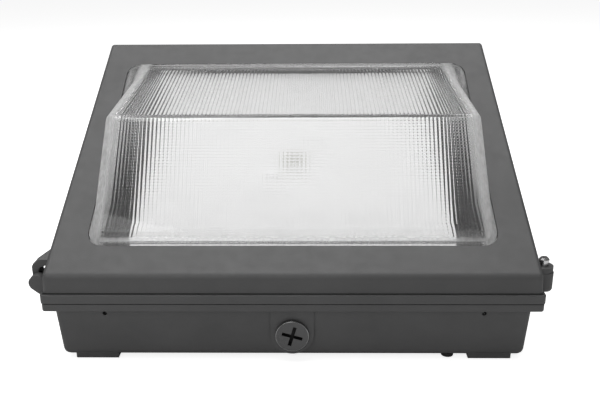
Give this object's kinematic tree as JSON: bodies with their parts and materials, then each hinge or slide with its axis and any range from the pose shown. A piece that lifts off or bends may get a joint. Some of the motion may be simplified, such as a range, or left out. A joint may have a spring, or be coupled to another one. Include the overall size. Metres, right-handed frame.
{
  "type": "wall pack light",
  "caption": "Sloped outdoor wall light: cast housing, hinged door with a ridged prismatic glass lens, and captive latch screws.",
  "frame": {"origin": "centre of the mounting plane, on the back faces of the stand-off pads", "axes": "+X to the right of someone facing the lower edge, -Y to the lower edge as hung, +Z out of the wall"},
  "size_m": [0.3822, 0.2408, 0.2058],
  "materials": {
    "cast_metal": "satin powder coat",
    "dark_plug": "satin",
    "clear_glass": "prismatic",
    "soft_rubber": "matt",
    "bare_steel": "zinc plated",
    "white_sheet": "gloss white",
    "bare_aluminium": "satin",
    "light_source": "phosphor"
  },
  "bodies": {
    "housing": {"housing": "cast_metal", "perimeter_seal": "soft_rubber", "lower_conduit_plug": "dark_plug", "lower_plug_washer": "soft_rubber", "left_conduit_plug": "dark_plug", "left_plug_washer": "soft_rubber", "right_conduit_plug": "dark_plug", "right_plug_washer": "soft_rubber", "hole_bung": "soft_rubber", "lower_hinge_pin": "bare_steel", "upper_hinge_pin": "bare_steel", "driver_case": "bare_aluminium", "driver_lid": "bare_aluminium", "driver_screws": "bare_steel", "led_tray": "white_sheet", "left_tray_bracket": "bare_steel", "right_tray_bracket": "bare_steel", "bracket_screws": "bare_steel", "tray_screws": "bare_steel", "led_board": "bare_aluminium", "led_source": "light_source", "board_screws": "bare_steel"},
    "door": {"door_frame": "cast_metal", "lens": "clear_glass", "lens_gasket": "soft_rubber", "lens_clips": "bare_steel", "clip_screws": "bare_steel"},
    "lower_latch": {"lower_latch_screw": "bare_steel", "lower_latch_collar": "bare_steel"},
    "upper_latch": {"upper_latch_screw": "bare_steel", "upper_latch_collar": "bare_steel"}
  },
  "joints": [
    {"name": "door_hinge", "type": "hinge", "parent": "housing", "child": "door", "pos_m": [-0.186, 0, 0.0627], "axis": [0, -1, 0], "range_deg": [0, 110]},
    {"name": "lower_latch_lift", "type": "slide", "parent": "door", "child": "lower_latch", "axis": [0, 0, 1], "range_m": [0, 0.01]},
    {"name": "upper_latch_lift", "type": "slide", "parent": "door", "child": "upper_latch", "axis": [0, 0, 1], "range_m": [0, 0.01]}
  ]
}
